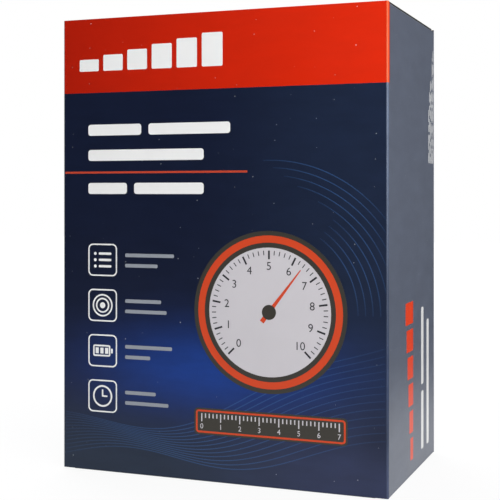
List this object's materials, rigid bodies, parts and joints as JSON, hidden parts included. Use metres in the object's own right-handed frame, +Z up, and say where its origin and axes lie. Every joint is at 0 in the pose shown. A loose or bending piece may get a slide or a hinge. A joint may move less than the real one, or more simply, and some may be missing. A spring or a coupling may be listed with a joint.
{
  "type": "folding carton",
  "caption": "Upright printed retail carton of micro-flute board with a hinged tuck-in lid, dust flaps and an auto-lock bottom.",
  "frame": {"origin": "centre of the base, on the surface that the carton stands on", "axes": "+Z up, -Y out of the printed front panel, +X to the right seen from the front"},
  "size_m": [0.171, 0.102, 0.23],
  "materials": {
    "printed_board": "printed board under a satin film, navy with an orange-red band"
  },
  "bodies": {
    "carton": {"carton": "printed_board"},
    "lid": {"lid": "printed_board"}
  },
  "joints": [
    {"name": "lid_hinge", "type": "hinge", "parent": "carton", "child": "lid", "pos_m": [0, 0.05068, 0.22968], "axis": [-1, 0, 0], "range_deg": [0, 180]}
  ]
}
